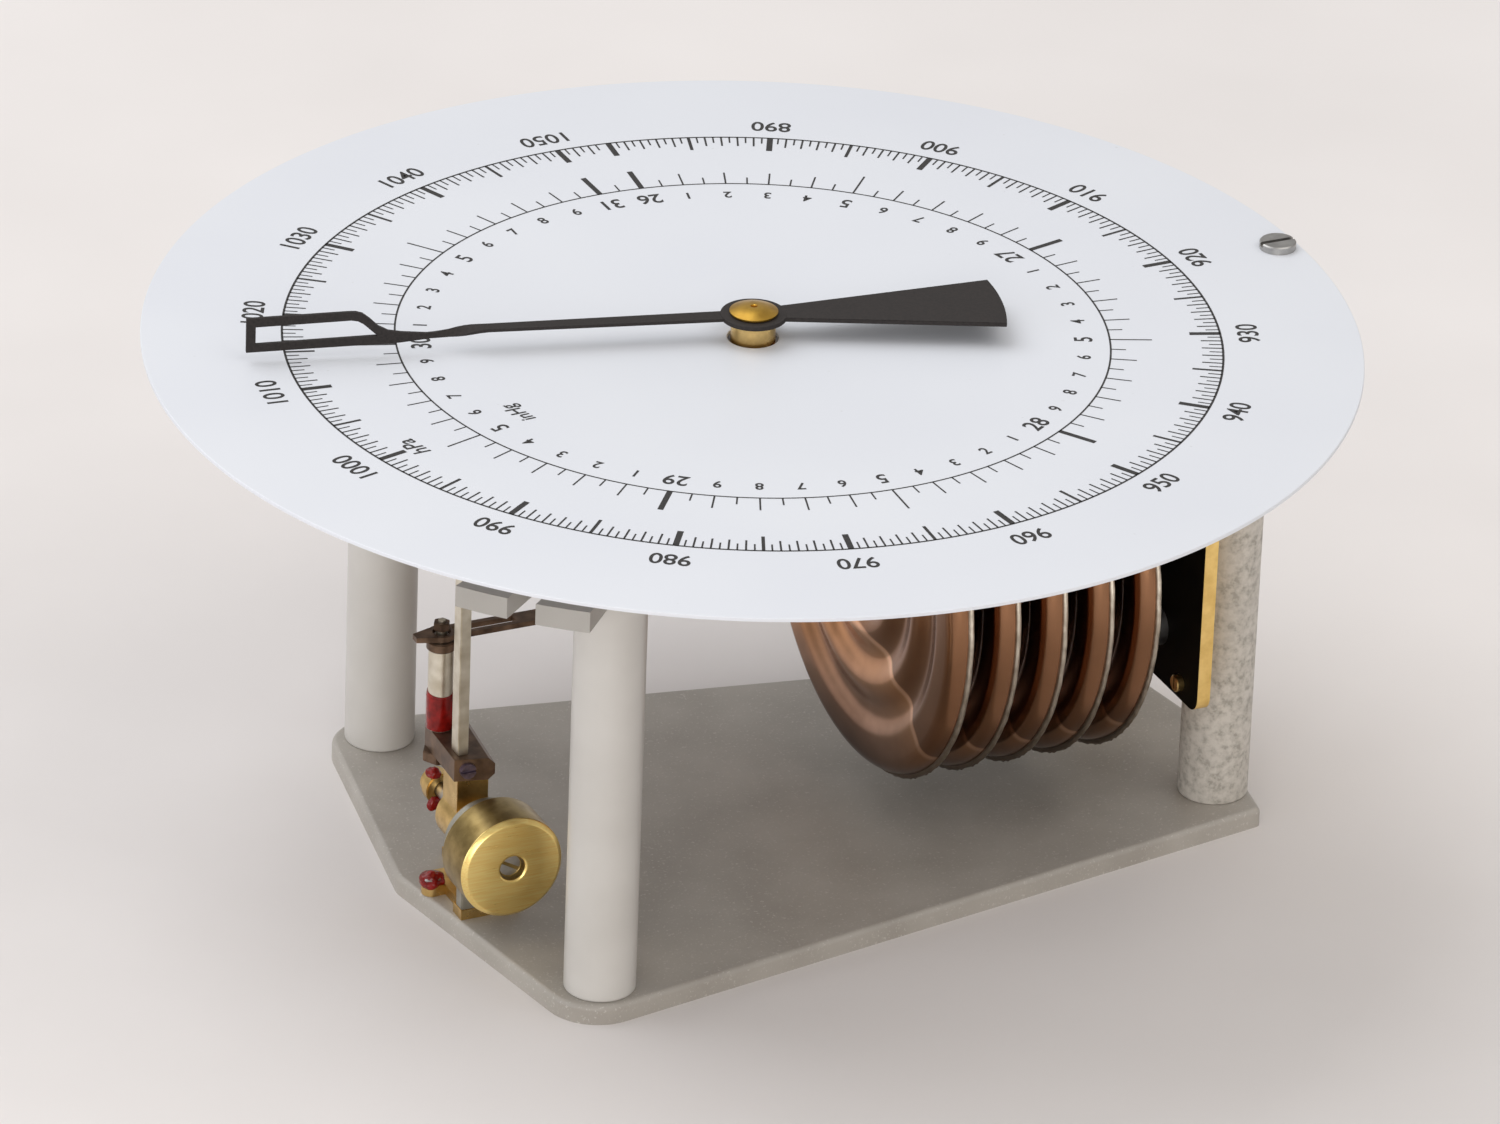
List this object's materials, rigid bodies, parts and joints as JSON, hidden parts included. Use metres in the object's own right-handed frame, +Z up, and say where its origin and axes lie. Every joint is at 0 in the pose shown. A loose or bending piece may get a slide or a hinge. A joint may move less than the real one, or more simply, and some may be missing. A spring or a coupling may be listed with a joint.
{
  "type": "aneroid barometer movement",
  "caption": "Aneroid barometer movement: capsule stack, rocking shaft, toothed sector and pinion between plates on pillars, turning a pointer over a round dial.",
  "frame": {"origin": "underside of the base plate, straight below the pointer axis", "axes": "+Z up along the pointer axis; +X along the base plate from the rocking shaft to the capsule bracket; +Y to the rear"},
  "size_m": [0.13, 0.13, 0.0653],
  "materials": {
    "base_paint": "grey hammer-texture paint, satin",
    "smooth_grey": "smooth light grey paint, satin",
    "mottled_grey": "mottled galvanised grey, matt",
    "dial_enamel": "white satin enamel",
    "steel": "turned steel",
    "brass": "turned and lacquered brass",
    "nickel": "warm nickel silver",
    "dark_bronze": "dark oxidised bronze",
    "copper": "beryllium bronze, coppery",
    "red_lacquer": "red sealing lacquer",
    "blackened": "blackened metal, matt",
    "spring_steel": "flat spring strip"
  },
  "bodies": {
    "movement_frame": {"base_plate": "base_paint", "base_screws": "steel", "bearing_foot": "brass", "bracket_corner_screws": "brass", "bracket_screws": "steel", "bridge": "brass", "bridge_bushes": "brass", "bridge_posts": "brass", "bridge_screws": "steel", "capsule_bracket": "brass", "dial": "dial_enamel", "dial_feet": "steel", "dial_posts": "brass", "dial_screw": "steel", "foot_screws": "steel", "foot_seals": "red_lacquer", "front_cheek": "nickel", "hairspring_stud": "brass", "pillar_front_left": "smooth_grey", "pillar_front_right": "mottled_grey", "pillar_rear_left": "smooth_grey", "pillar_rear_right": "mottled_grey", "plate_bushes": "brass", "rear_cheek": "brass", "stack_nuts": "brass", "stack_stud": "brass", "top_plate": "smooth_grey", "top_screws": "steel"},
    "pointer": {"pointer": "blackened", "pointer_boss": "brass", "pointer_cap": "brass", "pinion_arbor": "steel", "pinion": "steel", "hairspring_collet": "brass", "hairspring": "spring_steel"},
    "sector": {"toothed_sector": "brass", "sector_arbor": "steel", "sector_pin": "steel"},
    "link": {"sector_link": "dark_bronze"},
    "rocker": {"rocking_shaft": "steel", "shaft_collar": "brass", "rocker_arm": "brass", "cross_bar": "dark_bronze", "bar_screw": "steel", "draw_post": "nickel", "post_collar": "dark_bronze", "post_nut": "dark_bronze", "post_root_nut": "dark_bronze", "post_lacquer": "red_lacquer", "lift_rod": "nickel", "balance_weight": "brass", "balance_screw": "steel"},
    "stack_end": {"stack_boss": "brass", "draw_strip": "dark_bronze", "strip_pin": "steel"},
    "capsule_1": {"capsule_1": "copper"},
    "capsule_2": {"capsule_2": "copper"},
    "capsule_3": {"capsule_3": "copper"},
    "capsule_4": {"capsule_4": "copper"},
    "capsule_5": {"capsule_5": "copper"}
  },
  "joints": [
    {"name": "stack_end_slide", "type": "slide", "parent": "movement_frame", "child": "stack_end", "axis": [1, 0, 0], "range_m": [-0.00079, 0.00021], "stiffness_N_per_m": 1000},
    {"name": "rocker_rock", "type": "hinge", "parent": "movement_frame", "child": "rocker", "pos_m": [-0.0341, 0, 0.0112], "axis": [0, 1, 0], "range_deg": [-2.29, 0.62]},
    {"name": "link_slide", "type": "slide", "parent": "movement_frame", "child": "link", "axis": [1, 0, 0], "range_m": [-0.00169, 0.00046]},
    {"name": "sector_swing", "type": "hinge", "parent": "movement_frame", "child": "sector", "pos_m": [-0.0265, 0, 0.055], "axis": [0, 0, 1], "range_deg": [-16.7, 4.51]},
    {"name": "pointer_turn", "type": "hinge", "parent": "movement_frame", "child": "pointer", "pos_m": [0, 0, 0.055], "axis": [0, 0, -1], "range_deg": [-278.27, 75.06], "deforming": ["hairspring"]},
    {"name": "capsule_1_slide", "type": "slide", "parent": "movement_frame", "child": "capsule_1", "axis": [1, 0, 0], "range_m": [-0.0007095, 0.0001915]},
    {"name": "capsule_2_slide", "type": "slide", "parent": "movement_frame", "child": "capsule_2", "axis": [1, 0, 0], "range_m": [-0.0005518, 0.0001489]},
    {"name": "capsule_3_slide", "type": "slide", "parent": "movement_frame", "child": "capsule_3", "axis": [1, 0, 0], "range_m": [-0.0003942, 0.0001064]},
    {"name": "capsule_4_slide", "type": "slide", "parent": "movement_frame", "child": "capsule_4", "axis": [1, 0, 0], "range_m": [-0.0002366, 0.0000639]},
    {"name": "capsule_5_slide", "type": "slide", "parent": "movement_frame", "child": "capsule_5", "axis": [1, 0, 0], "range_m": [-0.0000789, 0.0000214]}
  ],
  "couplings": [
    {"joint": "rocker_rock", "follows": "stack_end_slide", "rad_per_m": 50.633},
    {"joint": "link_slide", "follows": "stack_end_slide", "ratio": 2.1443},
    {"joint": "sector_swing", "follows": "stack_end_slide", "rad_per_m": 369.71},
    {"joint": "pointer_turn", "follows": "stack_end_slide", "rad_per_m": 6161.8},
    {"joint": "capsule_1_slide", "follows": "stack_end_slide", "ratio": 0.9},
    {"joint": "capsule_2_slide", "follows": "stack_end_slide", "ratio": 0.7},
    {"joint": "capsule_3_slide", "follows": "stack_end_slide", "ratio": 0.5},
    {"joint": "capsule_4_slide", "follows": "stack_end_slide", "ratio": 0.3},
    {"joint": "capsule_5_slide", "follows": "stack_end_slide", "ratio": 0.1}
  ]
}
